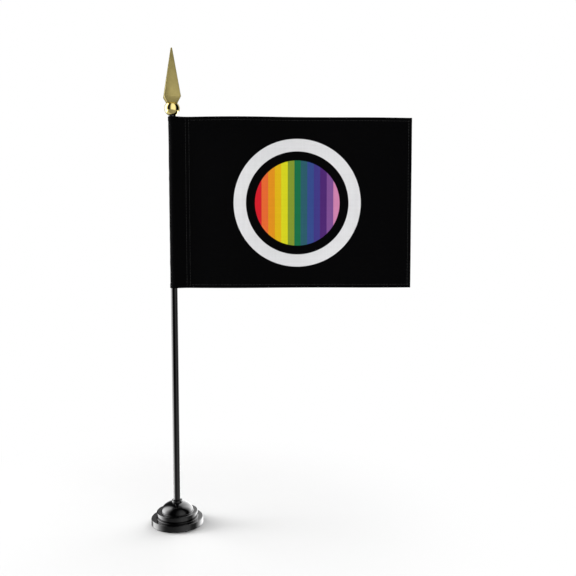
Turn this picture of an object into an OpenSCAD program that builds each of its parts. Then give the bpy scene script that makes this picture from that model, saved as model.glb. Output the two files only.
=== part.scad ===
// Desk flag stand: a weighted, stepped round base, a push-in staff, a sewn cloth flag
// with a pole sleeve, and a gilt ball-and-spear finial.
// Origin: centre of the foot pad's underside. +Z runs up the staff, the flag flies along +X.

/* [Base] */
// Outer diameter of the base's lower step
base_d = 47.4; // [42:0.2:70]
// Height of the lower step's top above the table
lower_step_top = 6.5; // [5.5:0.1:9]
// Outer diameter of the upper step
upper_step_d = 37.6; // [34:0.2:41]
// Height of the upper step's top above the table
upper_step_top = 12.3; // [11:0.1:18]
// Diameter of the dome where it stands on the upper step
dome_d = 29.4; // [24:0.2:32]
// Height that the dome's curve would have at the staff's axis, above the upper step
dome_rise = 8.9; // [7:0.1:16]
// Wall thickness of the moulded shell
shell_wall = 2; // [1.5:0.1:2.6]
// Radius on the outer edges of the shell's steps
edge_r = 0.5; // [0.2:0.1:0.8]
// Height of the shell's rim above the table, so that only the foot pad touches it
rim_gap = 0.5; // [0.2:0.1:0.8]

/* [Underside] */
// Thickness of the foot pad
pad_t = 1.1; // [0.9:0.1:2]
// Thickness of the lid that closes the shell
lid_t = 1.7; // [1.2:0.1:2]
// Width of the ledge inside the shell that the lid seats against
lid_ledge = 0.4; // [0.2:0.1:0.8]
// How far the foot pad's edge stays inside the lid's edge
pad_inset = 0.3; // [0:0.1:1]
// Thickness of the steel ballast ring
ballast_t = 7; // [4:0.5:7]

/* [Grip bush] */
// Outer diameter of the bush's lip, the collar that shows at the staff's foot
lip_d = 9.9; // [9.4:0.1:13]
// Height of the lip above the dome
lip_h = 1.9; // [1.2:0.1:4]
// Wall of the bush round the staff
bush_wall = 1; // [0.8:0.1:1.3]
// Thickness of the floor that the staff's foot stands on
bush_floor = 1.4; // [0.8:0.1:2]
// Height of the bush's underside above the table
bush_bottom = 4.9; // [4.2:0.1:8]
// Width of the chamfer at the bush's mouth
mouth_chamfer = 0.8; // [0.3:0.1:1]
// Wall of the boss inside the shell that the bush turns in
boss_wall = 1.5; // [1:0.1:2]

/* [Staff] */
// Diameter of the staff, a quarter of an inch
staff_d = 6.35; // [5:0.05:7.5]
// Length of the staff
staff_len = 372.2; // [250:0.1:500]
// Chamfer at both ends of the staff
staff_chamfer = 0.5; // [0.2:0.1:0.8]

/* [Finial] */
// Diameter of the ball
ball_d = 13.5; // [12:0.1:20]
// Width of one side of the spear head where it is widest
spear_w = 14.4; // [12:0.1:22]
// Width of one side of the spear head at its foot
spear_foot_w = 9; // [7.5:0.1:10.5]
// Height of the taper between the spear's foot and its widest point
spear_foot_h = 5.4; // [4:0.1:10]
// Height of the blade above its widest point
spear_blade_h = 42.9; // [30:0.1:80]
// Width of one side of the blunt tip
spear_tip_w = 1.3; // [0.8:0.1:3]
// How far the spear's dished foot comes down over the ball
spear_sink = 0.5; // [0.3:0.1:1]
// Turn of the spear head from the flag's plane, in degrees
spear_turn = 12.5; // [-45:0.5:45]
// Diameter of the dowel that joins the spear head to the ball
dowel_d = 3; // [2:0.1:3.5]
// Length of the dowel
dowel_len = 10; // [7:0.5:12]

/* [Flag] */
// Height of the flag along the staff, six inches
flag_h = 152.4; // [90:0.2:220]
// Width of the flag from the staff's axis to its fly edge
flag_w = 214; // [120:1:320]
// Thickness of one layer of the cloth
cloth_t = 0.4; // [0.3:0.05:0.6]
// Distance from the staff's axis to where the sleeve's two layers meet
sleeve_reach = 10; // [8:0.5:14]
// Width of the sewn seam beyond the sleeve
seam_w = 6; // [4:0.5:10]
// Width of the hems on the flag's other three edges
hem_w = 4; // [3:0.5:8]
// Depth of the first, second and third soft fold in the cloth
fold_depths = [1.6, 1.1, 1.5]; // [0:0.1:3]
// Gap between the top of the sleeve and the ball
flag_gap = 0.3; // [0.1:0.1:3]
// Width of the sewing thread
thread_w = 0.35; // [0.2:0.05:0.6]
// How far the sewing thread stands off the cloth
thread_t = 0.15; // [0.1:0.05:0.3]

/* [Fits] */
// Radial clearance of the parts that turn or slide on each other
running_gap = 0.04; // [0.02:0.01:0.09]
// Radial clearance of the cloth sleeve round the staff
sleeve_gap = 0.18; // [0.1:0.01:0.4]
// Clearance between parts that are stacked inside the base
stack_gap = 0.1; // [0.05:0.05:0.3]

/* [Hidden] */
$fn = 96;

base_r = base_d / 2;
upper_r = upper_step_d / 2;
dome_r = dome_d / 2;
lip_r = lip_d / 2;
staff_r = staff_d / 2;
ball_r = ball_d / 2;
dowel_r = dowel_d / 2;

// Staff socket, from the staff outwards
socket_r = staff_r + running_gap;
bush_r = socket_r + bush_wall;
shell_bore_r = bush_r + running_gap;
boss_r = shell_bore_r + boss_wall;
seat_z = upper_step_top + dome_rise * sqrt(1 - pow(lip_r / dome_r, 2));
lip_bottom = seat_z + running_gap;
lip_top = seat_z + lip_h;
socket_floor = bush_bottom + bush_floor;

// Underside, from the table up
lid_bottom = pad_t;
lid_top = lid_bottom + lid_t;
skirt_r = base_r - shell_wall;
lid_pocket_r = skirt_r + lid_ledge;
lid_r = lid_pocket_r - stack_gap;
pad_r = lid_r - pad_inset;
boss_bottom = lid_top + stack_gap;
ballast_bottom = lid_top + stack_gap;
ballast_inner_r = boss_r + stack_gap;
ballast_outer_r = upper_r - shell_wall - 3 * stack_gap;

// Staff and finial
staff_bottom = socket_floor + running_gap;
staff_top = staff_bottom + staff_len;
ball_z = staff_top;
ball_socket_top = staff_top + running_gap;
dowel_wall = 1.3;
dowel_bottom = ball_socket_top + dowel_wall;
dowel_hole_r = dowel_r + running_gap;
spear_foot_z = ball_z + sqrt(pow(ball_r, 2) - pow(spear_foot_w / 2, 2)) - spear_sink;
spear_shoulder_z = spear_foot_z + spear_foot_h;
spear_tip_z = spear_shoulder_z + spear_blade_h;
tip_chamfer = spear_tip_w / 4;

// Flag
flag_top = ball_z - ball_r - flag_gap;
flag_bottom = flag_top - flag_h;
sleeve_in_r = staff_r + sleeve_gap;
sleeve_out_r = sleeve_in_r + cloth_t;
seam_end = sleeve_reach + seam_w;
seam_line = sleeve_reach + seam_w / 2;
hem_line = hem_w * 0.75;
seam_layers = 3;
hem_layers = 2;
flank_start = 0.97;
fold_steps = 48;
tiny = 0.001;

// Points of a circle's or an ellipse's arc, from angle a0 to a1 in n steps
function arc(c, rx, rz, a0, a1, n = 8) =
    [for (i = [0:n]) let (a = a0 + (a1 - a0) * i / n) c + [rx * cos(a), rz * sin(a)]];

// Outward quarter round on a step's upper edge
function top_edge(r, z) = arc([r - edge_r, z - edge_r], edge_r, edge_r, 0, 90);

// Where the cloth bends: even steps from the seam's end to the fly edge
function bend_x(k) = seam_end + (flag_w - seam_end) * k / fold_steps;

// Sideways place of the cloth's middle at step k: three soft folds
function bend_y(k) = let (u = 180 * k / fold_steps)
    -(fold_depths[0] * sin(u) + fold_depths[1] * sin(2 * u) + fold_depths[2] * sin(3 * u));

// The same at any x: flat to the seam's end, then straight from one step to the next
function fold(x) = x <= seam_end ? 0 :
    let (t = fold_steps * (x - seam_end) / (flag_w - seam_end), k = min(floor(t), fold_steps - 1))
    bend_y(k) + (bend_y(k + 1) - bend_y(k)) * (t - k);

// Points of a strip that follows the cloth from x0 to x1, between two distances off its middle
function strip(x0, x1, near, far) =
    let (bends = [for (k = [0:fold_steps]) if (bend_x(k) > x0 + tiny && bend_x(k) < x1 - tiny) bend_x(k)],
         xs = concat([x0], bends, [x1]), last = len(xs) - 1)
    concat([for (x = xs) [x, fold(x) + near]], [for (i = [last:-1:0]) [xs[i], fold(xs[i]) + far]]);

module lathe(points) {
    rotate_extrude() polygon(points);
}

// A straight tube or pin between two heights
module rod(r, z0, z1) {
    translate([0, 0, z0]) cylinder(r = r, h = z1 - z0);
}

module base_shell() {
    seat_angle = acos(lip_r / dome_r);
    inner_dome = [dome_r - shell_wall, dome_rise - shell_wall];
    boss_angle = acos(boss_r / inner_dome[0]);
    color("#0b0b0c") lathe(concat(
        [[lid_pocket_r, rim_gap]],
        arc([base_r - edge_r, rim_gap + edge_r], edge_r, edge_r, -90, 0),
        top_edge(base_r, lower_step_top),
        [[upper_r, lower_step_top]],
        top_edge(upper_r, upper_step_top),
        arc([0, upper_step_top], dome_r, dome_rise, 0, seat_angle, 20),
        [[shell_bore_r, seat_z], [shell_bore_r, boss_bottom], [boss_r, boss_bottom]],
        arc([0, upper_step_top], inner_dome[0], inner_dome[1], boss_angle, 0, 12),
        [[inner_dome[0], upper_step_top - shell_wall],
         [upper_r - shell_wall, upper_step_top - shell_wall],
         [upper_r - shell_wall, lower_step_top - shell_wall],
         [skirt_r, lower_step_top - shell_wall],
         [skirt_r, lid_top], [lid_pocket_r, lid_top]]));
}

module base_lid() {
    color("#161616") rod(lid_r, lid_bottom, lid_top);
}

module ballast_ring() {
    color("#6d6f72") difference() {
        rod(ballast_outer_r, ballast_bottom, ballast_bottom + ballast_t);
        rod(ballast_inner_r, ballast_bottom - 1, ballast_bottom + ballast_t + 1);
    }
}

module foot_pad() {
    color("#1b1b1b") rod(pad_r, 0, pad_t);
}

module grip_bush() {
    color("#0b0b0c") lathe(concat(
        [[0, bush_bottom], [bush_r, bush_bottom], [bush_r, lip_bottom], [lip_r, lip_bottom]],
        top_edge(lip_r, lip_top),
        [[socket_r + mouth_chamfer, lip_top], [socket_r, lip_top - mouth_chamfer],
         [socket_r, socket_floor], [0, socket_floor]]));
}

module staff_rod() {
    color("#0e0e0f") lathe([
        [0, staff_bottom], [staff_r - staff_chamfer, staff_bottom],
        [staff_r, staff_bottom + staff_chamfer], [staff_r, staff_top - staff_chamfer],
        [staff_r - staff_chamfer, staff_top], [0, staff_top]]);
}

// The sleeve's wedge beyond its round part, for a cloth face at radius r and a tip at x = tip.
// Its flanks start a little inside the round, so that they run into it.
function wedge(r, tip) = let (a = acos(r / tip), start = flank_start * r)
    [[0, 0], start * [cos(a), -sin(a)], [tip, 0], start * [cos(a), sin(a)]];

module sleeve() {
    translate([0, 0, flag_bottom]) difference() {
        union() {
            cylinder(r = sleeve_out_r, h = flag_h);
            linear_extrude(flag_h) polygon(wedge(sleeve_out_r, sleeve_reach + cloth_t));
        }
        translate([0, 0, -1]) {
            cylinder(r = sleeve_in_r, h = flag_h + 2);
            linear_extrude(flag_h + 2) polygon(wedge(sleeve_in_r, sleeve_reach - 2 * cloth_t));
        }
    }
}

// A layered part of the cloth from x0 to x1 and z0 to z1, its layers lying evenly about the middle
module layers(count, x0, x1, z0, z1) {
    half = count * cloth_t / 2;
    translate([0, 0, z0]) linear_extrude(z1 - z0) polygon(strip(x0, x1, -half, half));
}

module flag_cloth() {
    color("#050505") {
        sleeve();
        layers(seam_layers, sleeve_reach - cloth_t, seam_end, flag_bottom, flag_top);
        layers(1, seam_end - cloth_t, flag_w - hem_w + cloth_t, flag_bottom, flag_top);
        layers(hem_layers, seam_end - cloth_t, flag_w, flag_bottom, flag_bottom + hem_w);
        layers(hem_layers, seam_end - cloth_t, flag_w, flag_top - hem_w, flag_top);
        layers(hem_layers, flag_w - hem_w, flag_w, flag_bottom, flag_top);
    }
}

// A run of sewing on both faces of the cloth, which has that many layers there
module sewing(count, x0, x1, z0, z1) {
    face = count * cloth_t / 2;
    for (side = [-1, 1])
        translate([0, 0, z0]) linear_extrude(z1 - z0)
            polygon(strip(x0, x1, side * face, side * (face + thread_t)));
}

module hoist_thread() {
    color("#101010") for (x = [seam_line - seam_w / 4, seam_line + seam_w / 4])
        sewing(seam_layers, x - thread_w / 2, x + thread_w / 2, flag_bottom + hem_line, flag_top - hem_line);
}

module hem_thread() {
    fly_line = flag_w - hem_line;
    color("#101010") {
        for (z = [flag_bottom + hem_line, flag_top - hem_line])
            sewing(hem_layers, seam_end + 1, fly_line, z - thread_w / 2, z + thread_w / 2);
        sewing(hem_layers, fly_line - thread_w / 2, fly_line + thread_w / 2,
            flag_bottom + hem_line + thread_w / 2, flag_top - hem_line - thread_w / 2);
    }
}

module finial_ball() {
    color("#d8c060") difference() {
        translate([0, 0, ball_z]) sphere(r = ball_r);
        rod(socket_r, ball_z - ball_r - 1, ball_socket_top);
        rod(dowel_hole_r, dowel_bottom - running_gap, ball_z + ball_r + 1);
    }
}

module spear_dowel() {
    color("#b9bcc0") rod(dowel_r, dowel_bottom, dowel_bottom + dowel_len);
}

// The spear head's outline from one side, run through along Y for the width of its shoulder
module spear_outline() {
    outline = [[spear_foot_w, spear_foot_z], [spear_w, spear_shoulder_z],
        [spear_tip_w, spear_tip_z - tip_chamfer], [spear_tip_w - 2 * tip_chamfer, spear_tip_z]];
    translate([0, spear_w, 0]) rotate([90, 0, 0]) linear_extrude(2 * spear_w)
        polygon(concat([for (p = outline) [p[0] / 2, p[1]]],
                       [for (i = [len(outline) - 1:-1:0]) [-outline[i][0] / 2, outline[i][1]]]));
}

module spear_head() {
    color("#9e9259") difference() {
        rotate([0, 0, spear_turn]) intersection() {
            spear_outline();
            rotate([0, 0, 90]) spear_outline();
        }
        translate([0, 0, ball_z]) sphere(r = ball_r + running_gap);
        rod(dowel_r, dowel_bottom, dowel_bottom + dowel_len);
    }
}

base_shell();
base_lid();
ballast_ring();
foot_pad();
grip_bush();
staff_rod();
flag_cloth();
hoist_thread();
hem_thread();
finial_ball();
spear_dowel();
spear_head();
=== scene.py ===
import math

import bmesh
import bpy
from mathutils import Matrix, Vector, noise


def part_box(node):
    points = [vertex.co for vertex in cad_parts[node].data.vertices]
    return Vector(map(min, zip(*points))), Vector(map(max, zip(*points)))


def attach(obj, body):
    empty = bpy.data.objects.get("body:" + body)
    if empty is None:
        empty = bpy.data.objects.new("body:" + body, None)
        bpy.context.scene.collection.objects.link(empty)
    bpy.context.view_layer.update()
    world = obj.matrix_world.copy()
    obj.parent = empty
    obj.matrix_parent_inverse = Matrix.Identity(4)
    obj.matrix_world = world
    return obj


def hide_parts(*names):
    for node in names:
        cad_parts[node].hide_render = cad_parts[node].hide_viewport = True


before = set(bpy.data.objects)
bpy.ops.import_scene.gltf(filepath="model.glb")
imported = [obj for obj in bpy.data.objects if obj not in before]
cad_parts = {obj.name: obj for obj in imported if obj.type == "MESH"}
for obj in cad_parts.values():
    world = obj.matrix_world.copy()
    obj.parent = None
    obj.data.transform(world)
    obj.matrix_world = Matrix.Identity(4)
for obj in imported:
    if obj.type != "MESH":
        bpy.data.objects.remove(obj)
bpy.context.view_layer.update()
MM = 0.001

# ------------------------------------------------------------------ camera
# The stand is seen from the front, a little to the fly side, from the height of the
# flag's lower half and two thirds of a metre away, through a slightly long lens.
CAMERA_PLACE = (0.0823, -0.6779, 0.2772)
DEGREES_DOWN, DEGREES_ROUND = 4.92, -1.72
FILM_WIDTH, FOCAL_LENGTH = 36, 46.875
camera_data = bpy.data.cameras.new("camera")
camera_data.sensor_width = FILM_WIDTH
camera_data.lens = FOCAL_LENGTH
camera_data.clip_start = 0.01
camera = bpy.data.objects.new("camera", camera_data)
bpy.context.scene.collection.objects.link(camera)
camera.location = CAMERA_PLACE
camera.rotation_euler = (math.radians(90 - DEGREES_DOWN), 0, math.radians(DEGREES_ROUND))
bpy.context.scene.camera = camera

# ---------------------------------------------------------------- foot pad
# A disc of black closed-cell foam, punched from sheet and stuck to the lid. It keeps the
# moulding off the table, grips it, and its cut edge is a little rounded by the punch.
PAD_RADIUS, PAD_TOP, PAD_EDGE = 21.7, 1.1, 0.15
TOUCHING = 1e-7


def rounded(corners, steps=6, hold=0.12 * MM):
    """An outline of (radius, height, fillet) corners, with an arc for each fillet."""
    outline = []
    for i, (radius, height, fillet) in enumerate(corners):
        here = Vector((radius, height))
        if not fillet:
            outline.append(tuple(here))
            continue
        before = Vector(corners[i - 1][:2]) - here
        after = Vector(corners[(i + 1) % len(corners)][:2]) - here
        half = before.angle(after) / 2
        run = fillet / math.tan(half)
        centre = here + (before.normalized() + after.normalized()).normalized() * fillet / math.sin(half)
        if before.length > 2 * (run + hold):
            outline.append(tuple(here + before.normalized() * (run + hold)))
        start = here + before.normalized() * run - centre
        turn = start.angle_signed(here + after.normalized() * run - centre)
        for k in range(steps + 1):
            outline.append(tuple(centre + Matrix.Rotation(-turn * k / steps, 2) @ start))
        if after.length > 2 * (run + hold):
            outline.append(tuple(here + after.normalized() * (run + hold)))
    return outline


def finished(name, mesh, sharp=40):
    """Turns a closed bmesh into a smooth-shaded object whose faces all look outwards."""
    bmesh.ops.remove_doubles(mesh, verts=mesh.verts, dist=TOUCHING)
    bmesh.ops.recalc_face_normals(mesh, faces=mesh.faces)
    data = bpy.data.meshes.new(name)
    mesh.to_mesh(data)
    mesh.free()
    data.shade_smooth()
    data.set_sharp_from_angle(angle=math.radians(sharp))
    piece = bpy.data.objects.new(name, data)
    bpy.context.scene.collection.objects.link(piece)
    return piece


def in_metres(corners):
    """The same outline corners with their millimetres in metres."""
    return [tuple(size * MM for size in corner) for corner in corners]


def lathe(name, outline, turns=192):
    """A closed solid of revolution about the staff's axis, from its closed (radius, height) outline."""
    mesh = bmesh.new()
    rings = []
    for radius, height in outline:
        count = 1 if radius < TOUCHING else turns
        angles = [math.tau * i / turns for i in range(count)]
        rings.append([mesh.verts.new((radius * math.cos(a), radius * math.sin(a), height)) for a in angles])
    for low, high in zip(rings, rings[1:] + rings[:1]):
        for i in range(turns):
            j = (i + 1) % turns
            corners = (low[i % len(low)], low[j % len(low)], high[j % len(high)], high[i % len(high)])
            corners = list(dict.fromkeys(corners))
            if len(corners) > 2:
                mesh.faces.new(corners)
    return finished(name, mesh)


def node_group(name, inputs, outputs):
    """A new shader group with (name, kind, default) inputs; gives the tree and its two ends."""
    tree = bpy.data.node_groups.new(name, "ShaderNodeTree")
    for label, kind, default in inputs:
        socket = tree.interface.new_socket(label, in_out="INPUT", socket_type="NodeSocket" + kind)
        if default is not None:
            socket.default_value = default
    for label, kind in outputs:
        tree.interface.new_socket(label, in_out="OUTPUT", socket_type="NodeSocket" + kind)
    return tree, tree.nodes.new("NodeGroupInput"), tree.nodes.new("NodeGroupOutput")


def joined(tree, kind, links=(), **settings):
    """A new node of a tree. Each link is (input's name or number, a value or the socket that feeds it)."""
    node = tree.nodes.new(kind)
    for key, value in settings.items():
        setattr(node, key, value)
    for key, value in links:
        if isinstance(value, bpy.types.NodeSocket):
            tree.links.new(value, node.inputs[key])
        else:
            node.inputs[key].default_value = value
    return node


def maths(tree, operation, *values):
    """The output of a Math node."""
    return joined(tree, "ShaderNodeMath", enumerate(values), operation=operation).outputs[0]


def ramp(tree, factor, stops, interpolation="LINEAR"):
    """The colour output of a Color Ramp with (position, colour or grey) stops."""
    node = joined(tree, "ShaderNodeValToRGB", [("Fac", factor)])
    node.color_ramp.interpolation = interpolation
    stops = [(p, (c, c, c) if isinstance(c, (int, float)) else c) for p, c in stops]
    while len(node.color_ramp.elements) < len(stops):
        node.color_ramp.elements.new(0.5)
    for element, (position, colour) in zip(node.color_ramp.elements, stops):
        element.position = position
        element.color = (*colour, 1)
    return node.outputs["Color"]


def material(name, colour, roughness, metallic=0.0, **sockets):
    """A Principled material with its even values set on the shader itself."""
    made = bpy.data.materials.new(name)
    made.use_nodes = True
    shader = made.node_tree.nodes["Principled BSDF"]
    shader.inputs["Base Color"].default_value = (*colour, 1)
    shader.inputs["Roughness"].default_value = roughness
    shader.inputs["Metallic"].default_value = metallic
    for key, value in sockets.items():
        shader.inputs[key.replace("_", " ")].default_value = value
    return made, made.node_tree, shader


def bump(tree, shader, height, distance, strength=1.0):
    """Feeds a height, as a share of distance in metres, to the shader's normal."""
    links = [("Height", height), ("Distance", distance), ("Strength", strength)]
    tree.links.new(joined(tree, "ShaderNodeBump", links).outputs["Normal"], shader.inputs["Normal"])


def object_place(tree):
    """The place on the object, in metres."""
    return joined(tree, "ShaderNodeTexCoord").outputs["Object"]


pad_corners = [(0, 0, 0), (PAD_RADIUS, 0, PAD_EDGE), (PAD_RADIUS, PAD_TOP, PAD_EDGE), (0, PAD_TOP, 0)]
foot_pad = lathe("foot_pad_foam", rounded(in_metres(pad_corners)))

foam, tree, shader = material("black_foam", (0.012, 0.012, 0.012), 0.9)
cells = joined(tree, "ShaderNodeTexVoronoi", [("Vector", object_place(tree)), ("Scale", 2600.0)])
# Painted shade: the foam's colour is darker in the middle of each cell, where the bump sinks a pit.
tree.links.new(ramp(tree, cells.outputs["Distance"], [(0.0, (0.006,) * 3), (0.6, (0.02,) * 3)]),
               shader.inputs["Base Color"])
bump(tree, shader, cells.outputs["Distance"], 0.06 * MM)
foot_pad.data.materials.append(foam)
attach(foot_pad, "base")
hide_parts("foot_pad")

# -------------------------------------------------------- lid and ballast
# The lid is a disc of matte black plastic, pressed into the shell's underside. Above it lies
# the ballast, a ring turned from bright steel bar that drops over the boss.
LID_RADIUS, LID_TOP, LID_EDGE = 22, 2.8, 0.12
lid_corners = [
    (0, PAD_TOP, 0), (LID_RADIUS, PAD_TOP, LID_EDGE), (LID_RADIUS, LID_TOP, LID_EDGE), (0, LID_TOP, 0)]
base_lid = lathe("base_lid_disc", rounded(in_metres(lid_corners)))

spark_grain, ends, out = node_group(
    "spark_grain", [("Place", "Vector", None), ("Grains per Metre", "Float", 3000.0)],
    [("Height", "Float"), ("Shade", "Float")])
coarse = joined(spark_grain, "ShaderNodeTexNoise", [
    ("Vector", ends.outputs["Place"]), ("Scale", ends.outputs["Grains per Metre"]), ("Detail", 3.0)])
fine = maths(spark_grain, "MULTIPLY", ends.outputs["Grains per Metre"], 0.05)
patches = joined(spark_grain, "ShaderNodeTexNoise", [("Vector", ends.outputs["Place"]), ("Scale", fine)])
spark_grain.links.new(coarse.outputs[0], out.inputs["Height"])
spark_grain.links.new(patches.outputs[0], out.inputs["Shade"])

matte_plastic, tree, shader = material("matte_black_plastic", (0.014, 0.014, 0.014), 0.62)
grain = joined(tree, "ShaderNodeGroup", node_tree=spark_grain)
tree.links.new(object_place(tree), grain.inputs["Place"])
tree.links.new(ramp(tree, grain.outputs["Shade"], [(0.3, 0.55), (0.7, 0.72)]), shader.inputs["Roughness"])
bump(tree, shader, grain.outputs["Height"], 0.04 * MM)
base_lid.data.materials.append(matte_plastic)
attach(base_lid, "base")
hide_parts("base_lid")

TOOL_FEED = 0.25 * MM
turned_steel, tree, shader = material("turned_steel", (0.45, 0.46, 0.47), 0.32, metallic=1.0)
axes = joined(tree, "ShaderNodeSeparateXYZ", [("Vector", object_place(tree))])
across = maths(tree, "SQRT", maths(tree, "ADD", maths(tree, "POWER", axes.outputs["X"], 2.0),
                                   maths(tree, "POWER", axes.outputs["Y"], 2.0)))
tool_marks = maths(tree, "SINE", maths(tree, "MULTIPLY", across, math.tau / TOOL_FEED))
tree.links.new(ramp(tree, tool_marks, [(0.0, 0.26), (1.0, 0.4)]), shader.inputs["Roughness"])
bump(tree, shader, tool_marks, 0.004 * MM)
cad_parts["ballast_ring"].data.materials.clear()
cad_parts["ballast_ring"].data.materials.append(turned_steel)

# -------------------------------------------------------------- base shell
# One injection moulding in glossy black styrene: two steps and a dome outside, and inside a
# hollow with the boss that the bush turns in. The polished tool leaves it almost a mirror.
SHELL_BOTTOM, SHELL_WALL = 0.5, 2.0
LOWER_STEP_RADIUS, LOWER_STEP_TOP = 23.7, 6.5
UPPER_STEP_RADIUS = 18.8
DOME_FOOT, DOME_RADIUS, DOME_RISE = 12.3, 14.7, 8.9
LIP_RADIUS, SHELL_MOUTH_TOP, MOUTH_BREAK = 4.95, 20.68, 0.1
SHELL_BORE, BOSS_RADIUS, BOSS_BOTTOM = 4.255, 5.755, 2.9
LID_SEAT_RADIUS, LID_LEDGE_RADIUS = 22.1, 21.7


def dome_arc(radius, rise, inner, outward=False, steps=40):
    """Outline points over the dome, from its foot to where it meets a part of that inner radius."""
    top = math.acos(inner / radius)
    points = [(radius * math.cos(top * k / steps), DOME_FOOT + rise * math.sin(top * k / steps), 0)
              for k in range(steps + 1)]
    return points[::-1] if outward else points


shell_corners = [
    (LID_SEAT_RADIUS, SHELL_BOTTOM, 0.12), (LOWER_STEP_RADIUS, SHELL_BOTTOM, 0.5),
    (LOWER_STEP_RADIUS, LOWER_STEP_TOP, 0.6), (UPPER_STEP_RADIUS, LOWER_STEP_TOP, 0.35),
    (UPPER_STEP_RADIUS, DOME_FOOT, 0.6), (DOME_RADIUS + 0.01, DOME_FOOT, 0.35),
    *dome_arc(DOME_RADIUS, DOME_RISE, LIP_RADIUS)[2:],
    (SHELL_BORE + MOUTH_BREAK, SHELL_MOUTH_TOP, 0), (SHELL_BORE, SHELL_MOUTH_TOP - MOUTH_BREAK, 0),
    (SHELL_BORE, BOSS_BOTTOM, 0.1), (BOSS_RADIUS, BOSS_BOTTOM, 0.1),
    *dome_arc(DOME_RADIUS - SHELL_WALL, DOME_RISE - SHELL_WALL, BOSS_RADIUS, outward=True, steps=16),
    (DOME_RADIUS - SHELL_WALL, DOME_FOOT - SHELL_WALL, 0.3),
    (UPPER_STEP_RADIUS - SHELL_WALL, DOME_FOOT - SHELL_WALL, 0.4),
    (UPPER_STEP_RADIUS - SHELL_WALL, LOWER_STEP_TOP - SHELL_WALL, 0.3),
    (LID_LEDGE_RADIUS, LOWER_STEP_TOP - SHELL_WALL, 0.4), (LID_LEDGE_RADIUS, LID_TOP, 0),
    (LID_SEAT_RADIUS, LID_TOP, 0)]
base_shell = lathe("base_shell_moulding", rounded(in_metres(shell_corners)), 256)

GLOSSY_BLACK = (0.0007, 0.0007, 0.0008)
handling, ends, out = node_group(
    "handling_marks",
    [("Place", "Vector", None), ("Least Roughness", "Float", 0.05), ("Most Roughness", "Float", 0.2)],
    [("Roughness", "Float"), ("Waves", "Float")])
smears = joined(handling, "ShaderNodeTexNoise", [
    ("Vector", ends.outputs["Place"]), ("Scale", 110.0), ("Detail", 5.0), ("Roughness", 0.62),
    ("Distortion", 0.7)])
specks = joined(handling, "ShaderNodeTexNoise", [
    ("Vector", ends.outputs["Place"]), ("Scale", 1500.0), ("Detail", 2.0)])
both = maths(handling, "ADD", maths(handling, "MULTIPLY", smears.outputs[0], 0.75),
             maths(handling, "MULTIPLY", specks.outputs[0], 0.25))
spread = joined(handling, "ShaderNodeMapRange", [
    ("Value", both), ("From Min", 0.42), ("From Max", 0.75),
    ("To Min", ends.outputs["Least Roughness"]), ("To Max", ends.outputs["Most Roughness"])])
waves = joined(handling, "ShaderNodeTexNoise", [
    ("Vector", ends.outputs["Place"]), ("Scale", 140.0), ("Detail", 1.0)])
handling.links.new(spread.outputs[0], out.inputs["Roughness"])
handling.links.new(waves.outputs[0], out.inputs["Waves"])


def glossy_black(name, least, most, wave_depth):
    """Glossy black plastic or lacquer with faint handling marks and a slow waviness of the given depth."""
    made, tree, shader = material(name, GLOSSY_BLACK, 0.05, IOR=1.5)
    marks = joined(tree, "ShaderNodeGroup", node_tree=handling)
    tree.links.new(object_place(tree), marks.inputs["Place"])
    marks.inputs["Least Roughness"].default_value = least
    marks.inputs["Most Roughness"].default_value = most
    tree.links.new(marks.outputs["Roughness"], shader.inputs["Roughness"])
    bump(tree, shader, marks.outputs["Waves"], wave_depth)
    return made


moulded_black = glossy_black("moulded_black", 0.02, 0.08, 0.015 * MM)
base_shell.data.materials.append(moulded_black)
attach(base_shell, "base")
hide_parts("base_shell")

# --------------------------------------------------------------- grip bush
# A turned black bush whose thin wall grips the staff. Its lip stands on the dome as a small
# collar with a rounded rim and a countersunk mouth; the rest is out of sight in the boss.
BUSH_RADIUS, BUSH_BOTTOM, BUSH_FLOOR = 4.215, 4.9, 6.3
BUSH_BORE, MOUTH_RADIUS, MOUTH_FOOT = 3.215, 4.1, 21.7
LIP_BOTTOM, LIP_TOP, LIP_ROUND = 20.72, 22.58, 0.5
bush_corners = [
    (0, BUSH_BOTTOM, 0), (BUSH_RADIUS, BUSH_BOTTOM, 0.3), (BUSH_RADIUS, LIP_BOTTOM, 0.1),
    (LIP_RADIUS, LIP_BOTTOM, 0.1), (LIP_RADIUS, LIP_TOP, LIP_ROUND), (MOUTH_RADIUS, LIP_TOP, 0.12),
    (BUSH_BORE, MOUTH_FOOT, 0.12), (BUSH_BORE, BUSH_FLOOR, 0), (0, BUSH_FLOOR, 0)]
grip_bush = lathe("grip_bush_collar", rounded(in_metres(bush_corners)), 128)
grip_bush.data.materials.append(moulded_black)
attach(grip_bush, "bush")
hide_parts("grip_bush")

# --------------------------------------------------------------- staff rod
# A straight quarter-inch rod, dipped in black lacquer. The lacquer is glossy and slightly
# wavy along the rod, and both ends are chamfered so that they start easily in their sockets.
staff_low, staff_high = (corner.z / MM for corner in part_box("staff_rod"))
STAFF_RADIUS, STAFF_CHAMFER = 3.175, 0.5
staff_end = STAFF_RADIUS - STAFF_CHAMFER
staff_corners = [
    (0, staff_low, 0), (staff_end, staff_low, 0.1), (STAFF_RADIUS, staff_low + STAFF_CHAMFER, 0.2),
    (STAFF_RADIUS, staff_high - STAFF_CHAMFER, 0.2), (staff_end, staff_high, 0.1), (0, staff_high, 0)]
staff = lathe("staff_lacquered_rod", rounded(in_metres(staff_corners)), 96)

lacquer = glossy_black("black_lacquer", 0.02, 0.07, 0.01 * MM)
staff.data.materials.append(lacquer)
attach(staff, "staff")
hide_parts("staff_rod")

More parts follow.
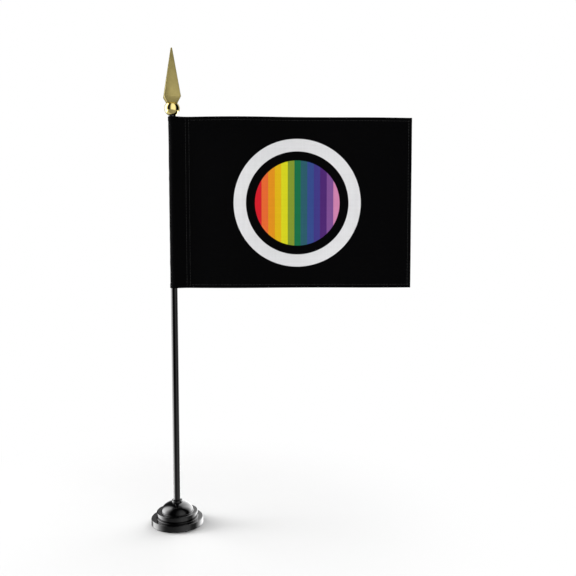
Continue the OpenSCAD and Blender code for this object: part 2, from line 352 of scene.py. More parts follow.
# -------------------------------------------------------------- flag cloth
# One piece of printed black polyester, hemmed on three sides and turned back on itself at the
# hoist, where two rows of stitching make the sleeve. It is dressed stiff, so it stands out
# almost flat with soft folds, and puckers a little along its sewing.
low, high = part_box("flag_cloth")
CLOTH = 0.4 * MM
FLY, BOTTOM, TOP = high.x, low.z, high.z
SLEEVE_REACH, SEAM_END = 10 * MM, 16 * MM
SLEEVE_INSIDE, SLEEVE_CLOTH, SLEEVE_CREASE = 3.21 * MM, 0.34 * MM, 0.12 * MM
SLEEVE_TIP = SLEEVE_REACH - 1.2 * MM
HEM, HEM_STITCH = 4 * MM, 3 * MM
HOIST_STITCHES = (11.5 * MM, 14.5 * MM)
STEP = 0.3 * MM
FOLDS = (1.6 * MM, 1.1 * MM, 1.5 * MM)
FLUTTER, RIPPLE = 1.1 * MM, 0.5 * MM
EDGE_FOLD, STITCH_DIP, STITCH_DIP_WIDTH = 0.5 * MM, 0.1 * MM, 0.45 * MM


def ease(value, start, end):
    """0 before start and 1 after end, with a smooth rise between."""
    t = min(max((value - start) / (end - start), 0), 1)
    return t * t * (3 - 2 * t)


def pucker(along, off, seed, pitch=6.5 * MM, depth=0.16 * MM, reach=5 * MM):
    """How far sewing pulls the cloth aside, at a place along the row of stitches and that far off it."""
    wander = noise.noise(Vector((along / (9 * MM), seed, 0)))
    swell = 0.6 + 0.8 * noise.noise(Vector((along / (21 * MM), seed, 7)))
    return depth * swell * math.sin(math.tau * along / pitch + 3 * wander) * math.exp(-(off / reach) ** 2)


def cloth_middle(x, z):
    """The sideways place of the cloth's middle, +Y being away from the front."""
    run = min(max((x - SEAM_END) / (FLY - SEAM_END), 0), 1)
    rise = (z - BOTTOM) / (TOP - BOTTOM)
    folds = sum(depth * math.sin((k + 1) * math.pi * run) for k, depth in enumerate(FOLDS))
    y = -folds * (0.75 + 0.5 * rise)
    y += FLUTTER * math.sin(math.pi * (1.6 * run + 0.9 * rise)) * run
    y += RIPPLE * run * noise.noise(Vector((x / (38 * MM), z / (52 * MM), 3)))
    y += pucker(x, z - BOTTOM - HEM_STITCH, 1) + pucker(x, TOP - HEM_STITCH - z, 2)
    y += pucker(z, FLY - HEM_STITCH - x, 3) + pucker(z, x - HOIST_STITCHES[1], 4)
    return y * ease(x, SLEEVE_REACH, SEAM_END + 6 * MM)


def layers_over(x, z):
    """How many layers of cloth lie behind the front one at a place beyond the sleeve."""
    hem = max(1 - ease(z - BOTTOM, HEM, HEM + STEP), 1 - ease(TOP - z, HEM, HEM + STEP),
              1 - ease(FLY - x, HEM, HEM + STEP))
    seam = 2 * (1 - ease(x, SEAM_END, SEAM_END + STEP))
    return max(hem, seam)


def edge_round(x, z):
    """The share of its thickness that the cloth keeps towards a folded edge."""
    off = min(FLY - x, z - BOTTOM, TOP - z)
    t = min(max(off / EDGE_FOLD, 0), 1)
    return 0.3 + 0.7 * math.sqrt(1 - (1 - t) ** 2)


def stitch_dip(x, z):
    """How deep the thread pulls into the cloth at a place, as a share of the full dip."""
    rows = [z - BOTTOM - HEM_STITCH, TOP - HEM_STITCH - z, FLY - HEM_STITCH - x]
    rows += [x - row for row in HOIST_STITCHES]
    return max(math.exp(-(row / STITCH_DIP_WIDTH) ** 2) for row in rows)


def cloth_faces(x, z):
    """The front and the back place of the cloth beyond the sleeve."""
    middle, dip = cloth_middle(x, z), STITCH_DIP * stitch_dip(x, z)
    keep = edge_round(x, z)
    thick = CLOTH * (1 + layers_over(x, z)) - 2 * dip
    centre = middle + CLOTH * layers_over(x, z) / 2
    return Vector((x, centre - thick * keep / 2, z)), Vector((x, centre + thick * keep / 2, z))


def sleeve_path(share, radius, tip):
    """A place on the sleeve's section, from the front of the seam round the staff to the back of it."""
    half = math.acos(radius / tip)
    flank, arc = math.sqrt(tip ** 2 - radius ** 2), 2 * (math.pi - half) * radius
    along = share * (2 * flank + arc)
    if flank < along < flank + arc:
        angle = -half - (along - flank) / radius
        return radius * math.cos(angle), radius * math.sin(angle)
    share_out = min(along, 2 * flank + arc - along) / flank
    side = -1 if along <= flank else 1
    x = tip + (radius * math.cos(half) - tip) * share_out
    y = side * radius * math.sin(half) * share_out
    return x, y


def spaced(start, end, step, extra):
    """Even grid lines from start to end, with extra ones, none too close to another."""
    count = math.ceil((end - start) / step)
    lines = sorted(extra)
    for k in range(count + 1):
        place = start + (end - start) * k / count
        if all(abs(place - other) > 0.3 * step for other in extra):
            lines.append(place)
    return sorted(lines)


GRID = 1.3 * MM
BESIDE_STITCH = 0.5 * MM
near_edge = [0, 0.06 * MM, 0.2 * MM, 0.5 * MM, HEM, HEM + STEP / 2, HEM + STEP]
near_edge += [HEM_STITCH - BESIDE_STITCH, HEM_STITCH, HEM_STITCH + BESIDE_STITCH]
near_hoist = [row + d for row in HOIST_STITCHES for d in (-BESIDE_STITCH, 0, BESIDE_STITCH)]
near_hoist += [SEAM_END, SEAM_END + STEP / 2, SEAM_END + STEP]
rows = spaced(BOTTOM, TOP, GRID, [BOTTOM + d for d in near_edge] + [TOP - d for d in near_edge])
columns = spaced(SLEEVE_REACH, FLY, GRID, [FLY - d for d in near_edge] + [SLEEVE_REACH] + near_hoist)
SLEEVE_STEPS = 72
SLEEVE_WRAP = 33 * MM


def sleeve_faces(share, z):
    """The outer and the inner place of the sleeve's cloth at a share of the way round."""
    hem = max(1 - ease(z - BOTTOM, HEM, HEM + STEP), 1 - ease(TOP - z, HEM, HEM + STEP))
    ease_in = math.sin(math.pi * share)
    crease = SLEEVE_CREASE * noise.noise(Vector((share * 5, z / (7 * MM), 11))) * ease_in
    keep = edge_round(0, z)
    out = SLEEVE_INSIDE + (SLEEVE_CLOTH * (1 + 0.8 * hem) + crease) * keep
    front, back = cloth_faces(SLEEVE_REACH, z)
    x, y = sleeve_path(share, out, SLEEVE_REACH)
    pull = (1 - ease_in) ** 4
    y += pull * (front.y if share < 0.5 else back.y)
    inner = sleeve_path(share, SLEEVE_INSIDE + 0.02 * MM, SLEEVE_TIP)
    return Vector((x, y, z)), Vector((*inner, z))


def make_cloth():
    """The whole cloth as one closed shell: front, sleeve and back outside, and the sleeve's tube inside."""
    mesh = bmesh.new()
    uv = mesh.loops.layers.uv.new("cut")
    cut_place = {}

    def vertex(place, along):
        made = mesh.verts.new(place)
        cut_place[made] = along
        return made

    outer, inner = [], []
    for z in rows:
        faces = [cloth_faces(x, z) for x in reversed(columns)]
        round_staff = [sleeve_faces(k / SLEEVE_STEPS, z) for k in range(1, SLEEVE_STEPS)]
        ring = [vertex(front, front.x) for front, _ in faces]
        ring += [vertex(out, SLEEVE_REACH - SLEEVE_WRAP * (k + 1) / SLEEVE_STEPS)
                 for k, (out, _) in enumerate(round_staff)]
        ring += [vertex(back, back.x) for _, back in reversed(faces)]
        outer.append(ring)
        tip = Vector((SLEEVE_TIP, cloth_middle(SLEEVE_REACH, z) + CLOTH, z))
        inner.append([vertex(tip, SLEEVE_REACH)] +
                     [vertex(inside, SLEEVE_REACH - SLEEVE_WRAP * (k + 1) / SLEEVE_STEPS)
                      for k, (_, inside) in enumerate(round_staff)])
    for rings in (outer, inner):
        for low_ring, high_ring in zip(rings, rings[1:]):
            for i in range(len(low_ring)):
                j = (i + 1) % len(low_ring)
                mesh.faces.new((low_ring[i], low_ring[j], high_ring[j], high_ring[i]))
    for out, inside in ((outer[0], inner[0]), (outer[-1], inner[-1])):
        last = len(columns) - 1
        for i in range(last):
            mesh.faces.new((out[i], out[i + 1], out[-2 - i], out[-1 - i]))
        mesh.faces.new((out[last], inside[0], out[-1 - last]))
        for k in range(SLEEVE_STEPS):
            mesh.faces.new((out[last + k], out[last + k + 1], inside[(k + 1) % SLEEVE_STEPS], inside[k]))
    for face in mesh.faces:
        for loop in face.loops:
            along = (cut_place[loop.vert] + SLEEVE_WRAP) / (FLY + SLEEVE_WRAP)
            loop[uv].uv = (along, (loop.vert.co.z - BOTTOM) / (TOP - BOTTOM))
    return finished("flag_cloth_sewn", mesh, sharp=50)


flag_cloth = make_cloth()

# ---- weave and print
weave, ends, out = node_group(
    "plain_weave", [("Place", "Vector", None), ("Threads per Metre", "Float", 3600.0)],
    [("Height", "Float"), ("Thread Shade", "Float")])
scaled = joined(weave, "ShaderNodeVectorMath", [
    (0, ends.outputs["Place"]), ("Scale", ends.outputs["Threads per Metre"])], operation="SCALE")
threads = joined(weave, "ShaderNodeSeparateXYZ", [("Vector", scaled.outputs[0])])
cell = [maths(weave, "FLOOR", threads.outputs[axis]) for axis in "XY"]
within = [maths(weave, "FRACT", threads.outputs[axis]) for axis in "XY"]
hump = [maths(weave, "SINE", maths(weave, "MULTIPLY", place, math.pi)) for place in within]
over = maths(weave, "ABSOLUTE", maths(weave, "MODULO", maths(weave, "ADD", *cell), 2.0))
warp = maths(weave, "MULTIPLY", hump[0], maths(weave, "ADD", 0.55, maths(weave, "MULTIPLY", hump[1], 0.45)))
weft = maths(weave, "MULTIPLY", hump[1], maths(weave, "ADD", 0.55, maths(weave, "MULTIPLY", hump[0], 0.45)))
height = joined(weave, "ShaderNodeMix", [(0, over), (2, warp), (3, weft)], data_type="FLOAT")
yarn = joined(weave, "ShaderNodeTexWhiteNoise", [
    ("Vector", joined(weave, "ShaderNodeCombineXYZ", [
        ("X", maths(weave, "MULTIPLY", cell[0], maths(weave, "SUBTRACT", 1.0, over))),
        ("Y", maths(weave, "MULTIPLY", cell[1], over)), ("Z", over)]).outputs[0])], noise_dimensions="3D")
weave.links.new(height.outputs[0], out.inputs["Height"])
weave.links.new(yarn.outputs["Value"], out.inputs["Thread Shade"])

# A pale ring round a disc of upright colour bands: a plain pattern that stands in the middle
ROUNDEL_CENTRE = (111 * MM, (BOTTOM + TOP) / 2)
RING_OUTER, RING_INNER, DISC_RADIUS = 57 * MM, 46 * MM, 38 * MM
INK_EDGE = 0.12 * MM
BANDS = [
    (0.58, 0.012, 0.022), (0.72, 0.13, 0.03), (0.69, 0.26, 0.012), (0.68, 0.42, 0.009), (0.62, 0.6, 0.014),
    (0.2, 0.28, 0.027), (0.01, 0.145, 0.056), (0.023, 0.095, 0.127), (0.033, 0.063, 0.227),
    (0.047, 0.037, 0.205), (0.067, 0.019, 0.145), (0.18, 0.069, 0.25), (0.55, 0.2, 0.37)]
roundel, ends, out = node_group(
    "roundel", [("Place", "Vector", None), ("Ring Colour", "Color", (0.66, 0.66, 0.67, 1))],
    [("Colour", "Color"), ("Ink", "Float")])
axes = joined(roundel, "ShaderNodeSeparateXYZ", [("Vector", ends.outputs["Place"])])
aside = maths(roundel, "SUBTRACT", axes.outputs["X"], ROUNDEL_CENTRE[0])
above = maths(roundel, "SUBTRACT", axes.outputs["Y"], ROUNDEL_CENTRE[1])
off = maths(roundel, "SQRT", maths(roundel, "ADD", maths(roundel, "POWER", aside, 2.0),
                                   maths(roundel, "POWER", above, 2.0)))


def within_radius(radius):
    """1 inside a circle about the roundel's centre and 0 outside, with a soft edge."""
    links = [("Value", off), ("From Min", radius + INK_EDGE), ("From Max", radius - INK_EDGE)]
    return joined(roundel, "ShaderNodeMapRange", links).outputs[0]


ring_ink = maths(roundel, "SUBTRACT", within_radius(RING_OUTER), within_radius(RING_INNER))
disc_ink = within_radius(DISC_RADIUS)
across = joined(roundel, "ShaderNodeMapRange", [
    ("Value", aside), ("From Min", -DISC_RADIUS), ("From Max", DISC_RADIUS)])
band_stops = [(i / len(BANDS), colour) for i, colour in enumerate(BANDS)]
bands = ramp(roundel, across.outputs[0], band_stops, "CONSTANT")
on_disc = maths(roundel, "LESS_THAN", off, (RING_INNER + DISC_RADIUS) / 2)
inks = joined(roundel, "ShaderNodeMix", [
    (0, on_disc), (6, ends.outputs["Ring Colour"]), (7, bands)], data_type="RGBA")
roundel.links.new(inks.outputs[2], out.inputs["Colour"])
roundel.links.new(maths(roundel, "ADD", ring_ink, disc_ink), out.inputs["Ink"])

BLACK_CLOTH = (0.001, 0.001, 0.0012)
flag_fabric, tree, shader = material(
    "black_flag_fabric", BLACK_CLOTH, 0.85, Sheen_Weight=0.003, Sheen_Roughness=0.35, Specular_IOR_Level=0.05)
cut = joined(tree, "ShaderNodeUVMap", uv_map="cut")
cut_size = joined(tree, "ShaderNodeMapping", [("Vector", cut.outputs[0])])
cut_size.inputs["Scale"].default_value = (FLY + SLEEVE_WRAP, TOP - BOTTOM, 1)
cut_size.inputs["Location"].default_value = (-SLEEVE_WRAP, BOTTOM, 0)
woven = joined(tree, "ShaderNodeGroup", node_tree=weave)
printed = joined(tree, "ShaderNodeGroup", node_tree=roundel)
for group in (woven, printed):
    tree.links.new(cut_size.outputs[0], group.inputs["Place"])
shaded = joined(tree, "ShaderNodeMapRange", [
    ("Value", woven.outputs["Thread Shade"]), ("To Min", 0.95), ("To Max", 1.04)])
# Painted shade: the cloth's colour is darkened where the weave lies low between its threads. The random tone
# of each thread above is the yarn's own.
painted_hollow_shade = joined(tree, "ShaderNodeMapRange", [
    ("Value", woven.outputs["Height"]), ("To Min", 0.9), ("To Max", 1.02)])
thread_tone_and_painted_shade = maths(tree, "MULTIPLY", shaded.outputs[0], painted_hollow_shade.outputs[0])
colour = joined(tree, "ShaderNodeMix", [
    (0, printed.outputs["Ink"]), (6, (*BLACK_CLOTH, 1)), (7, printed.outputs["Colour"])], data_type="RGBA")
tinted = joined(tree, "ShaderNodeMix", [
    (0, 1.0), (6, colour.outputs[2])], data_type="RGBA", blend_type="MULTIPLY")
tree.links.new(thread_tone_and_painted_shade, tinted.inputs[7])
tree.links.new(tinted.outputs[2], shader.inputs["Base Color"])
worn = joined(tree, "ShaderNodeMapRange", [
    ("Value", printed.outputs["Ink"]), ("To Min", 0.86), ("To Max", 0.62)])
tree.links.new(worn.outputs[0], shader.inputs["Roughness"])
bump(tree, shader, woven.outputs["Height"], 0.05 * MM)
flag_cloth.data.materials.append(flag_fabric)
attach(flag_cloth, "flag")
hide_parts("flag_cloth")

# --------------------------------------------------------------- stitching
# Lockstitch in black polyester thread, on both faces: two rows close the sleeve and one row
# runs round the three hems. Each stitch is a short, slightly raised grain sunk in its dip.
THREAD_RADIUS = 0.17 * MM
STITCH_PITCH, STITCH_LENGTH = 2.6 * MM, 2.35 * MM


def stitch_tree():
    """Lays a stitch every pitch along the edges of a mesh, and turns it to follow them."""
    tree = bpy.data.node_groups.new("lockstitch", "GeometryNodeTree")
    sockets = {}
    kinds = [("Geometry", "Geometry"), ("Pitch", "Float"), ("Length", "Float"), ("Radius", "Float"),
             ("Material", "Material")]
    for label, kind in kinds:
        socket = tree.interface.new_socket(label, in_out="INPUT", socket_type="NodeSocket" + kind)
        sockets[label] = socket.identifier
    tree.interface.new_socket("Geometry", in_out="OUTPUT", socket_type="NodeSocketGeometry")
    ends, out = tree.nodes.new("NodeGroupInput"), tree.nodes.new("NodeGroupOutput")
    path = joined(tree, "GeometryNodeMeshToCurve", [("Mesh", ends.outputs["Geometry"])])
    spots = joined(tree, "GeometryNodeResampleCurve", [
        ("Curve", path.outputs[0]), ("Length", ends.outputs["Pitch"])], mode="LENGTH")
    grain = joined(tree, "GeometryNodeMeshUVSphere", [("Segments", 8), ("Rings", 7), ("Radius", 1.0)])
    size = joined(tree, "ShaderNodeCombineXYZ", [
        ("X", maths(tree, "MULTIPLY", ends.outputs["Length"], 0.5)),
        ("Y", ends.outputs["Radius"]), ("Z", ends.outputs["Radius"])])
    stitch = joined(tree, "GeometryNodeTransform", [
        ("Geometry", grain.outputs["Mesh"]), ("Scale", size.outputs[0])])
    ahead = joined(tree, "FunctionNodeAlignRotationToVector", [
        ("Vector", joined(tree, "GeometryNodeInputTangent").outputs[0])], axis="X")
    laid = joined(tree, "GeometryNodeInstanceOnPoints", [
        ("Points", spots.outputs[0]), ("Instance", stitch.outputs[0]), ("Rotation", ahead.outputs[0])])
    solid = joined(tree, "GeometryNodeRealizeInstances", [("Geometry", laid.outputs[0])])
    smooth = joined(tree, "GeometryNodeSetShadeSmooth", [("Geometry", solid.outputs[0])])
    dressed = joined(tree, "GeometryNodeSetMaterial", [
        ("Geometry", smooth.outputs[0]), ("Material", ends.outputs["Material"])])
    tree.links.new(dressed.outputs[0], out.inputs["Geometry"])
    return tree, sockets


def stitched(name, paths, material_used):
    """Stitches along paths of points, as one plain mesh."""
    places = [point for path in paths for point in path]
    edges, first = [], 0
    for path in paths:
        edges += [(first + i, first + i + 1) for i in range(len(path) - 1)]
        first += len(path)
    lines = bpy.data.meshes.new(name + "_paths")
    lines.from_pydata(places, edges, [])
    maker = bpy.data.objects.new(name + "_maker", lines)
    bpy.context.scene.collection.objects.link(maker)
    modifier = maker.modifiers.new("lockstitch", "NODES")
    modifier.node_group, sockets = lockstitch
    modifier[sockets["Pitch"]] = STITCH_PITCH
    modifier[sockets["Length"]] = STITCH_LENGTH
    modifier[sockets["Radius"]] = THREAD_RADIUS
    modifier[sockets["Material"]] = material_used
    bpy.context.view_layer.update()
    seen = maker.evaluated_get(bpy.context.evaluated_depsgraph_get())
    data = bpy.data.meshes.new_from_object(seen)
    data.name = name
    bpy.data.objects.remove(maker)
    piece = bpy.data.objects.new(name, data)
    bpy.context.scene.collection.objects.link(piece)
    return piece


def on_cloth(x, z):
    """The thread's place on the front and on the back of the cloth."""
    front, back = cloth_faces(x, z)
    proud = Vector((0, 0.35 * THREAD_RADIUS, 0))
    return front - proud, back + proud


lockstitch = stitch_tree()
thread, tree, shader = material("black_thread", (0.012, 0.012, 0.013), 0.55, Specular_IOR_Level=0.4)
twist = joined(tree, "ShaderNodeTexWave", [
    ("Vector", object_place(tree)), ("Scale", 900.0), ("Distortion", 1.5)], bands_direction="DIAGONAL")
# Painted shade: the thread is darker along the low bands of its twist, the grooves between its plies.
tree.links.new(ramp(tree, twist.outputs["Fac"], [(0.2, (0.006,) * 3), (0.8, (0.02,) * 3)]),
               shader.inputs["Base Color"])
bump(tree, shader, twist.outputs["Fac"], 0.05 * MM)

HEM_ROW_START = SEAM_END + 1 * MM
HEM_ROW_END = FLY - HEM_STITCH
POINTS_ALONG, POINTS_UP = 160, 120
hem_heights = (BOTTOM + HEM_STITCH, TOP - HEM_STITCH)
hem_x = [HEM_ROW_START + (HEM_ROW_END - HEM_ROW_START) * k / POINTS_ALONG for k in range(POINTS_ALONG + 1)]
hem_z = [hem_heights[0] + (hem_heights[1] - hem_heights[0]) * k / POINTS_UP for k in range(POINTS_UP + 1)]
hem_rows = [[on_cloth(x, z)[side] for x in hem_x] for z in hem_heights for side in (0, 1)]
hem_rows += [[on_cloth(HEM_ROW_END, z)[side] for z in hem_z] for side in (0, 1)]
hoist_rows = [[on_cloth(x, z)[side] for z in hem_z] for x in HOIST_STITCHES for side in (0, 1)]
hem_stitches = stitched("hem_stitches", hem_rows, thread)
hoist_stitches = stitched("hoist_stitches", hoist_rows, thread)
for stitches, node in ((hem_stitches, "hem_thread"), (hoist_stitches, "hoist_thread")):
    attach(stitches, "flag")
    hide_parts(node)

# ------------------------------------------------------------- finial ball
# A turned ball, gilded and polished to a mirror, bored from below for the staff and from
# above for the dowel. Only faint wiping marks dull it.
BALL_RADIUS, BALL_CENTRE = 6.75, staff_high
BALL_BORE, DOWEL_HOLE, DOWEL_HOLE_FLOOR = 3.215, 1.54, 1.3
PLAY = 0.04


def ball_outline(steps=72):
    """The ball's outline: outside from the staff's bore to the dowel's hole, then the two holes."""
    start = -math.acos(BALL_BORE / BALL_RADIUS)
    end = math.acos(DOWEL_HOLE / BALL_RADIUS)
    angles = [start + (end - start) * k / steps for k in range(steps + 1)]
    arc = [(BALL_RADIUS * math.cos(a), BALL_CENTRE + BALL_RADIUS * math.sin(a)) for a in angles]
    roof, floor_of_hole = BALL_CENTRE + PLAY, BALL_CENTRE + DOWEL_HOLE_FLOOR
    return arc + [(DOWEL_HOLE, floor_of_hole), (0, floor_of_hole), (0, roof), (BALL_BORE, roof)]


finial_ball = lathe("finial_ball_gilt", in_metres(ball_outline()), 160)
mirror_gold, tree, shader = material("mirror_gold", (0.93, 0.76, 0.3), 0.05, metallic=1.0)
marks = joined(tree, "ShaderNodeGroup", node_tree=handling)
tree.links.new(object_place(tree), marks.inputs["Place"])
marks.inputs["Least Roughness"].default_value = 0.03
marks.inputs["Most Roughness"].default_value = 0.13
tree.links.new(marks.outputs["Roughness"], shader.inputs["Roughness"])
bump(tree, shader, marks.outputs["Waves"], 0.01 * MM)
finial_ball.data.materials.append(mirror_gold)
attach(finial_ball, "finial")
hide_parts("finial_ball")

bright_steel, tree, shader = material("bright_steel", (0.6, 0.61, 0.62), 0.28, metallic=1.0)
grain = joined(tree, "ShaderNodeGroup", node_tree=spark_grain)
tree.links.new(object_place(tree), grain.inputs["Place"])
tree.links.new(ramp(tree, grain.outputs["Shade"], [(0.3, 0.22), (0.7, 0.36)]), shader.inputs["Roughness"])
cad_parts["spear_dowel"].data.materials.clear()
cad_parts["spear_dowel"].data.materials.append(bright_steel)

# -------------------------------------------------------------- spear head
# A square spear head, moulded, then sprayed in a satin gold with a fine metal flake. It stands
# a little turned on the ball, its foot dished to fit, and its edges are softened by the paint.
SPEAR_TURN = math.radians(12.5)
SPEAR_LEVELS = [(9.0, 383.07), (14.4, 388.47), (1.3, 431.05), (0.65, 431.37)]
SPEAR_EDGE = 0.22 * MM


def make_spear():
    """Square rings joined into a solid, with softened edges and the ball's dish cut from the foot."""
    mesh = bmesh.new()
    rings = []
    for width, height in SPEAR_LEVELS:
        half = width / 2 * MM
        corners = [(-half, -half), (half, -half), (half, half), (-half, half)]
        rings.append([mesh.verts.new((x, y, height * MM)) for x, y in corners])
    for low_ring, high_ring in zip(rings, rings[1:]):
        for i in range(4):
            j = (i + 1) % 4
            mesh.faces.new((low_ring[i], low_ring[j], high_ring[j], high_ring[i]))
    mesh.faces.new(rings[0][::-1])
    mesh.faces.new(rings[-1])
    bmesh.ops.rotate(mesh, verts=mesh.verts, matrix=Matrix.Rotation(SPEAR_TURN, 3, "Z"))
    bmesh.ops.bevel(mesh, geom=list(mesh.edges), offset=SPEAR_EDGE, segments=3, profile=0.5,
                    affect="EDGES", clamp_overlap=True)
    blank = finished("spear_blank", mesh)
    dish_radius = BALL_RADIUS + PLAY
    angles = [math.radians(-89 + 2 * k) for k in range(90)]
    arc = [(dish_radius * math.cos(a), BALL_CENTRE + dish_radius * math.sin(a)) for a in angles]
    ends = [(0, BALL_CENTRE - 7), (0, BALL_CENTRE + dish_radius)]
    dish = lathe("spear_dish", in_metres([ends[0], *arc, ends[1]]), 128)
    cut = blank.modifiers.new("dish", "BOOLEAN")
    cut.object, cut.operation, cut.solver = dish, "DIFFERENCE", "EXACT"
    bpy.context.view_layer.update()
    data = bpy.data.meshes.new_from_object(blank.evaluated_get(bpy.context.evaluated_depsgraph_get()))
    for spent in (blank, dish):
        bpy.data.objects.remove(spent)
    whole = bmesh.new()
    whole.from_mesh(data)
    return finished("spear_head_satin", whole, sharp=30)


spear_head = make_spear()
satin_gold, tree, shader = material("satin_gold_paint", (0.42, 0.35, 0.13), 0.5, metallic=0.92)
grain = joined(tree, "ShaderNodeGroup", node_tree=spark_grain)
tree.links.new(object_place(tree), grain.inputs["Place"])
grain.inputs["Grains per Metre"].default_value = 5200.0
flake_colours = [(0.35, (0.375, 0.31, 0.115)), (0.65, (0.465, 0.39, 0.15))]
tree.links.new(ramp(tree, grain.outputs["Height"], flake_colours), shader.inputs["Base Color"])
tree.links.new(ramp(tree, grain.outputs["Shade"], [(0.3, 0.44), (0.7, 0.56)]), shader.inputs["Roughness"])
bump(tree, shader, grain.outputs["Height"], 0.012 * MM)
spear_head.data.materials.append(satin_gold)
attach(spear_head, "finial")
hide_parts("spear_head")

# ------------------------------------------------------------------ studio
# A pale floor and a white surround. Glossy things reflect a light tent with two tall boxes, at
# the left and at the right behind, a dim window at the front right, and dark gaps between them.
FLOOR_RADIUS, FLOOR_HEIGHT = 3.0, -0.05 * MM
FADE_START, FADE_END = 0.07, 0.3
floor_mesh = bmesh.new()
bmesh.ops.create_circle(floor_mesh, cap_ends=True, radius=FLOOR_RADIUS, segments=64,
                        matrix=Matrix.Translation((0, 0, FLOOR_HEIGHT)))
floor = finished("floor", floor_mesh)
floor_paint, tree, shader = material("pale_floor", (0.45, 0.45, 0.45), 0.7, Specular_IOR_Level=0.1)
off_centre = joined(tree, "ShaderNodeVectorMath", [(0, object_place(tree))], operation="LENGTH")
far = joined(tree, "ShaderNodeMapRange", [
    ("Value", off_centre.outputs["Value"]), ("From Min", FADE_START), ("From Max", FADE_END)],
    interpolation_type="SMOOTHSTEP")
mottle = joined(tree, "ShaderNodeTexNoise", [("Vector", object_place(tree)), ("Scale", 3.0)])
tree.links.new(ramp(tree, mottle.outputs[0], [(0.3, 0.44), (0.7, 0.46)]), shader.inputs["Base Color"])
glow = joined(tree, "ShaderNodeEmission", [("Color", (1, 1, 1, 1)), ("Strength", 1.0)])
faded = joined(tree, "ShaderNodeMixShader", [
    (0, far.outputs[0]), (1, shader.outputs[0]), (2, glow.outputs[0])])
tree.links.new(faded.outputs[0], tree.nodes["Material Output"].inputs["Surface"])
floor.data.materials.append(floor_paint)
floor.visible_glossy = False

# Brightness by degrees round from the camera, towards the fly side, and by degrees above the horizon
TENT_AROUND = [
    (-180, 2.5), (-172, 0.4), (-160, 0.05), (-142, 0.05), (-133, 1.5), (-124, 6.5), (-108, 9.5), (-93, 9.5),
    (-82, 5.5), (-70, 2.8), (-60, 1.0), (-50, 0.15), (-40, 0), (-12, 0), (0, 0.12), (15, 0.4), (32, 0.9),
    (60, 0.9), (68, 0.3), (76, 0.02), (94, 0.02), (102, 1.5), (118, 4.5), (135, 7.5), (155, 5.0), (180, 3.2)]
TENT_ABOVE = [
    (-90, 0.02), (-29, 0.06), (-23, 0.66), (-8, 0.75), (0, 1.0), (18, 1.0), (45, 0.75), (60, 0.45),
    (70, 0.05), (90, 0.02)]
BRIGHTEST, FLOOR_GLOW = 10.0, 0.28


def brightness_by_direction(tree, direction, around, above):
    """A brightness from 0 to 1 by bearing times a share by height; the lists hold (degrees, level)."""
    axes = joined(tree, "ShaderNodeSeparateXYZ", [
        ("Vector", joined(tree, "ShaderNodeVectorMath", [(0, direction)], operation="NORMALIZE").outputs[0])])
    bearing = maths(tree, "ARCTAN2", axes.outputs["X"], maths(tree, "MULTIPLY", axes.outputs["Y"], -1.0))
    bearing = maths(tree, "ADD", maths(tree, "DIVIDE", bearing, math.tau), 0.5)
    climb = maths(tree, "ADD", maths(tree, "DIVIDE", maths(tree, "ARCSINE", axes.outputs["Z"]), math.pi), 0.5)
    walls = ramp(tree, bearing, [(a / 360 + 0.5, level / BRIGHTEST) for a, level in around])
    share = ramp(tree, climb, [(a / 180 + 0.5, level) for a, level in above])
    return maths(tree, "MULTIPLY", walls, share), climb


world = bpy.data.worlds.new("light_tent")
bpy.context.scene.world = world
world.use_nodes = True
tree = world.node_tree
tent, climb = brightness_by_direction(
    tree, joined(tree, "ShaderNodeTexCoord").outputs["Generated"], TENT_AROUND, TENT_ABOVE)
below = ramp(tree, climb, [(0.39, FLOOR_GLOW / BRIGHTEST), (0.44, 0.0)])
glossy_light = joined(tree, "ShaderNodeBackground", [
    ("Color", maths(tree, "ADD", tent, below)), ("Strength", BRIGHTEST)])
white = joined(tree, "ShaderNodeBackground", [("Color", (1, 1, 1, 1)), ("Strength", 1.0)])
seen = joined(tree, "ShaderNodeMixShader", [
    (0, joined(tree, "ShaderNodeLightPath").outputs["Is Camera Ray"]), (1, glossy_light.outputs[0]),
    (2, white.outputs[0])])
tree.links.new(seen.outputs[0], tree.nodes["World Output"].inputs["Surface"])

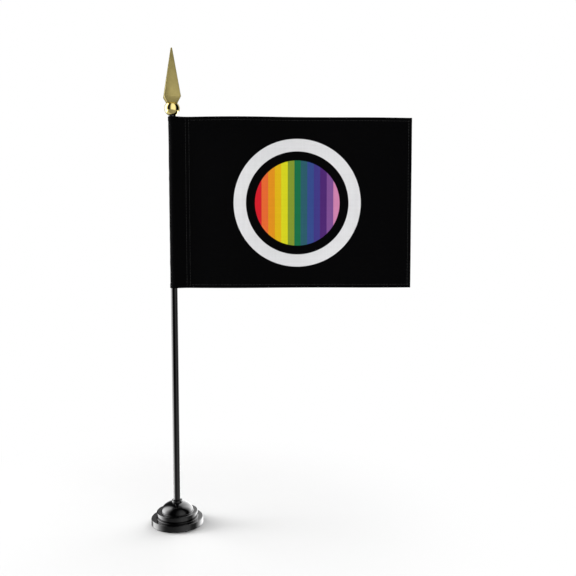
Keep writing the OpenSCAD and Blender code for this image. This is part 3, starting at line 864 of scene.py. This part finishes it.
# A slim tube of scrim hangs round the finial, out of sight, and gives the gold a calmer light
SCRIM_AROUND = [
    (-180, 0.05), (-124, 0.05), (-114, 1.2), (-105, 3.2), (-73, 3.2), (-63, 1.2), (-53, 0.25), (-44, 0),
    (-26, 0), (-14, 0.25), (-4, 1.0), (7, 1.15), (48, 1.15), (55, 0.5), (62, 0), (103, 0), (120, 0.5),
    (140, 0.7), (155, 0.3), (180, 0.05)]
SCRIM_ABOVE = [(-90, 0), (-45, 0), (-34, 0.4), (-20, 1), (40, 1), (90, 0.6)]
SCRIM_GLOW = 0.34
SCRIM_RADIUS, SCRIM_BOTTOM, SCRIM_TOP = 20 * MM, TOP + 0.7 * MM, TOP + 73 * MM
scrim_mesh = bmesh.new()
scrim_middle = Matrix.Translation((0, 0, (SCRIM_BOTTOM + SCRIM_TOP) / 2))
bmesh.ops.create_cone(scrim_mesh, segments=96, radius1=SCRIM_RADIUS, radius2=SCRIM_RADIUS,
                      depth=SCRIM_TOP - SCRIM_BOTTOM, matrix=scrim_middle)
scrim = finished("scrim", scrim_mesh)
scrim_cloth = bpy.data.materials.new("scrim_cloth")
scrim_cloth.use_nodes = True
tree = scrim_cloth.node_tree
from_ball = joined(tree, "ShaderNodeVectorMath", [
    (0, object_place(tree)), (1, (0, 0, BALL_CENTRE * MM))], operation="SUBTRACT")
calm, climb = brightness_by_direction(tree, from_ball.outputs[0], SCRIM_AROUND, SCRIM_ABOVE)
below = ramp(tree, climb, [(0.28, SCRIM_GLOW / BRIGHTEST), (0.34, 0.0)])
glow = joined(tree, "ShaderNodeEmission", [
    ("Color", maths(tree, "ADD", calm, below)), ("Strength", BRIGHTEST)])
one_way = joined(tree, "ShaderNodeMixShader", [
    (0, joined(tree, "ShaderNodeNewGeometry").outputs["Backfacing"]),
    (1, joined(tree, "ShaderNodeBsdfTransparent").outputs[0]), (2, glow.outputs[0])])
tree.links.new(one_way.outputs[0], tree.nodes["Material Output"].inputs["Surface"])
scrim.data.materials.append(scrim_cloth)
scrim.visible_camera = scrim.visible_diffuse = scrim.visible_transmission = False


def softbox(name, place, aim, size, power, shadow=False):
    """A square area light for the matte things, which looks at a point and isn't mirrored."""
    data = bpy.data.lights.new(name, "AREA")
    data.shape, data.size, data.energy = "SQUARE", size, power
    data.use_shadow = shadow
    lamp = bpy.data.objects.new(name, data)
    lamp.location = place
    lamp.rotation_euler = (Vector(aim) - Vector(place)).to_track_quat("-Z", "Y").to_euler()
    lamp.visible_glossy = False
    bpy.context.scene.collection.objects.link(lamp)


softbox("front_fill", place=(-0.5, -1.3, 0.6), aim=(0.1, 0, 0.28), size=0.8, power=13.0)
softbox("key", place=(-1.3, 0.1, 0.55), aim=(0, 0, 0), size=0.5, power=16.0, shadow=True)
bpy.context.scene.view_settings.view_transform = "Standard"
